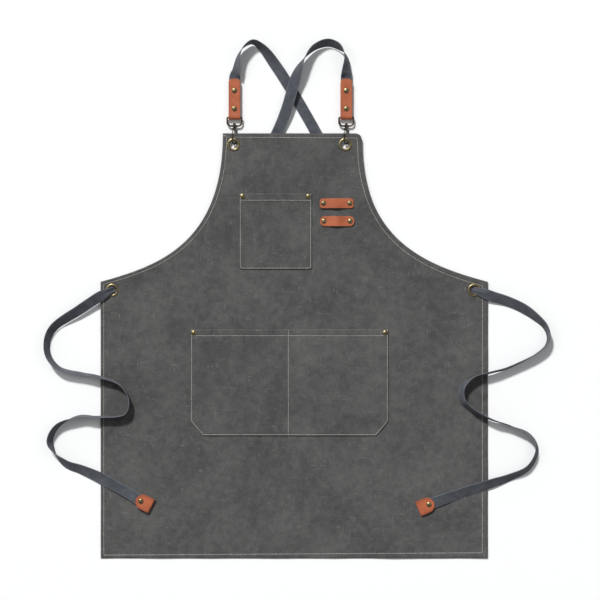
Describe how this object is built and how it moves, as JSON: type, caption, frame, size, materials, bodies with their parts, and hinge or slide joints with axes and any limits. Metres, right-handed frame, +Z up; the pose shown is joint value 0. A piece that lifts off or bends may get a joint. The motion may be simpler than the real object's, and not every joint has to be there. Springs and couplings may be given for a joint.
{
  "type": "artist apron",
  "caption": "Cross-back canvas work apron with chest and hip pockets, leather tool loops, grommets, and webbing straps on clip-on leather shoulder tabs.",
  "frame": {"origin": "on the surface the apron lies on, below the middle of the apron and its shoulder tabs", "axes": "+X to the right seen from the front, +Y towards the neck, +Z up off the surface, out of the apron's front"},
  "size_m": [0.9113, 0.9383, 0.0233],
  "materials": {
    "waxed_canvas": "washed waxed canvas, matt and mottled grey, with light-grey contrast stitching",
    "webbing": "dark blue-grey woven webbing, matt",
    "leather": "tan leather, satin, with darker cut edges",
    "antique_brass": "antique brass plate, worn bright on the high spots",
    "dark_brass": "dark antique brass plate, worn bright on the high spots"
  },
  "bodies": {
    "apron": {"apron_panel": "waxed_canvas", "chest_pocket": "waxed_canvas", "hip_pocket": "waxed_canvas", "strap_left": "webbing", "strap_right": "webbing", "shoulder_tab_left": "leather", "shoulder_tab_right": "leather", "tie_tip_left": "leather", "tie_tip_right": "leather", "tool_loop_upper": "leather", "tool_loop_lower": "leather", "bib_grommet_left_eyelet": "antique_brass", "bib_grommet_left_washer": "antique_brass", "bib_grommet_right_eyelet": "antique_brass", "bib_grommet_right_washer": "antique_brass", "side_grommet_left_eyelet": "antique_brass", "side_grommet_left_washer": "antique_brass", "side_grommet_right_eyelet": "antique_brass", "side_grommet_right_washer": "antique_brass", "chest_pocket_rivet_left_cap": "antique_brass", "chest_pocket_rivet_left_back": "antique_brass", "chest_pocket_rivet_right_cap": "antique_brass", "chest_pocket_rivet_right_back": "antique_brass", "hip_pocket_rivet_left_cap": "antique_brass", "hip_pocket_rivet_left_back": "antique_brass", "hip_pocket_rivet_right_cap": "antique_brass", "hip_pocket_rivet_right_back": "antique_brass", "tool_loop_upper_rivet_left_cap": "antique_brass", "tool_loop_upper_rivet_left_back": "antique_brass", "tool_loop_upper_rivet_right_cap": "antique_brass", "tool_loop_upper_rivet_right_back": "antique_brass", "tool_loop_lower_rivet_left_cap": "antique_brass", "tool_loop_lower_rivet_left_back": "antique_brass", "tool_loop_lower_rivet_right_cap": "antique_brass", "tool_loop_lower_rivet_right_back": "antique_brass", "tab_rivet_left_lower_cap": "antique_brass", "tab_rivet_left_lower_back": "antique_brass", "tab_rivet_left_upper_cap": "antique_brass", "tab_rivet_left_upper_back": "antique_brass", "tab_rivet_right_lower_cap": "antique_brass", "tab_rivet_right_lower_back": "antique_brass", "tab_rivet_right_upper_cap": "antique_brass", "tab_rivet_right_upper_back": "antique_brass", "tie_tip_rivet_left_cap": "antique_brass", "tie_tip_rivet_left_back": "antique_brass", "tie_tip_rivet_right_cap": "antique_brass", "tie_tip_rivet_right_back": "antique_brass"},
    "loop_left": {"hook_loop_left": "dark_brass"},
    "hook_left": {"hook_claw_left": "dark_brass", "gate_pin_left": "dark_brass", "gate_spring_left": "dark_brass"},
    "gate_left": {"hook_gate_left": "dark_brass"},
    "loop_right": {"hook_loop_right": "dark_brass"},
    "hook_right": {"hook_claw_right": "dark_brass", "gate_pin_right": "dark_brass", "gate_spring_right": "dark_brass"},
    "gate_right": {"hook_gate_right": "dark_brass"}
  },
  "joints": [
    {"name": "left_loop_swing", "type": "hinge", "parent": "apron", "child": "loop_left", "pos_m": [-0.108, 0.36375, 0.0056], "axis": [1, 0, 0], "range_deg": [-1.5, 0]},
    {"name": "left_hook_swivel", "type": "hinge", "parent": "loop_left", "child": "hook_left", "pos_m": [-0.108, 0.34825, 0.0056], "axis": [0, 1, 0], "range_deg": [0, 95]},
    {"name": "left_gate", "type": "hinge", "parent": "hook_left", "child": "gate_left", "pos_m": [-0.10987, 0.34185, 0.00741], "axis": [0.6947, 0, 0.7193], "range_deg": [0, 20], "stiffness_Nm_per_rad": 0.004, "springref_deg": -17.19},
    {"name": "right_loop_swing", "type": "hinge", "parent": "apron", "child": "loop_right", "pos_m": [0.094, 0.36375, 0.0056], "axis": [1, 0, 0], "range_deg": [-1.5, 0]},
    {"name": "right_hook_swivel", "type": "hinge", "parent": "loop_right", "child": "hook_right", "pos_m": [0.094, 0.34825, 0.0056], "axis": [0, 1, 0], "range_deg": [0, 95]},
    {"name": "right_gate", "type": "hinge", "parent": "hook_right", "child": "gate_right", "pos_m": [0.09213, 0.34185, 0.00741], "axis": [0.6947, 0, 0.7193], "range_deg": [0, 20], "stiffness_Nm_per_rad": 0.004, "springref_deg": -17.19}
  ]
}
